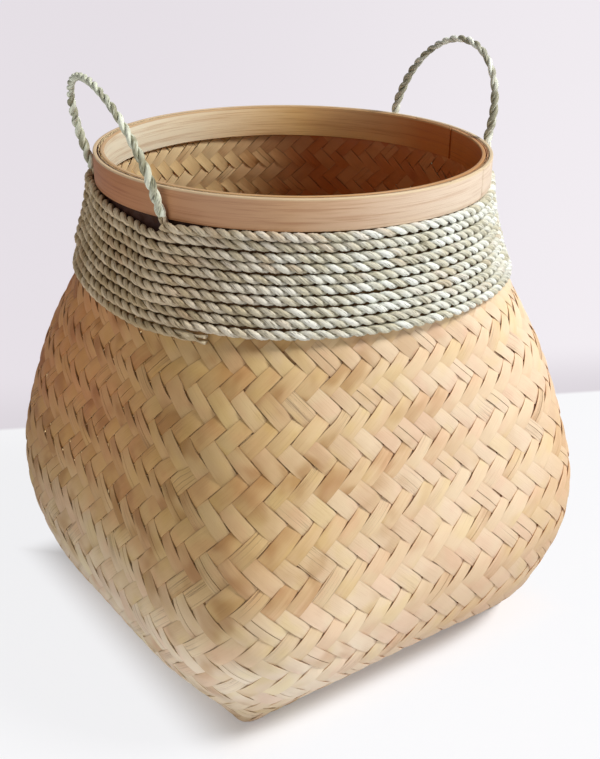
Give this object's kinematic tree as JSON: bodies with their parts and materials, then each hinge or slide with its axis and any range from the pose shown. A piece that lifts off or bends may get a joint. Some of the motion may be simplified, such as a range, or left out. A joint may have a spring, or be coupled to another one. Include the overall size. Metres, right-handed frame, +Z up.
{
  "type": "bamboo basket",
  "caption": "Plaited bamboo basket with a square foot, full belly and round mouth, bent hoops at the rim, a cord-bound neck and swinging cord loop handles.",
  "frame": {"origin": "middle of the square foot, on the surface that the basket stands on", "axes": "+Z up through the mouth; X and Y square to the flat faces of the foot; the left handle is on the -Y side and the right handle on the +Y side, turned 7.6 and 2 degrees about Z from it"},
  "size_m": [0.3082, 0.3082, 0.3842],
  "materials": {
    "bamboo_weave": "satin split bamboo",
    "bamboo_hoop": "smooth satin bamboo",
    "seagrass_cord": "dry twisted fibre"
  },
  "bodies": {
    "basket": {"woven_body": "bamboo_weave", "outer_hoop": "bamboo_hoop", "inner_hoop": "bamboo_hoop", "neck_binding": "seagrass_cord", "left_handle_near_tucked_end": "seagrass_cord", "left_handle_far_tucked_end": "seagrass_cord", "right_handle_far_tucked_end": "seagrass_cord", "right_handle_near_tucked_end": "seagrass_cord"},
    "left_handle": {"left_handle": "seagrass_cord"},
    "right_handle": {"right_handle": "seagrass_cord"}
  },
  "joints": [
    {"name": "left_handle_swing", "type": "hinge", "parent": "basket", "child": "left_handle", "pos_m": [-0.01471, -0.11024, 0.3095], "axis": [0.9912, -0.1323, 0], "range_deg": [-16.5, 71.5]},
    {"name": "right_handle_swing", "type": "hinge", "parent": "basket", "child": "right_handle", "pos_m": [0.00407, 0.11652, 0.3095], "axis": [-0.9994, 0.0349, 0], "range_deg": [-4, 84]}
  ]
}
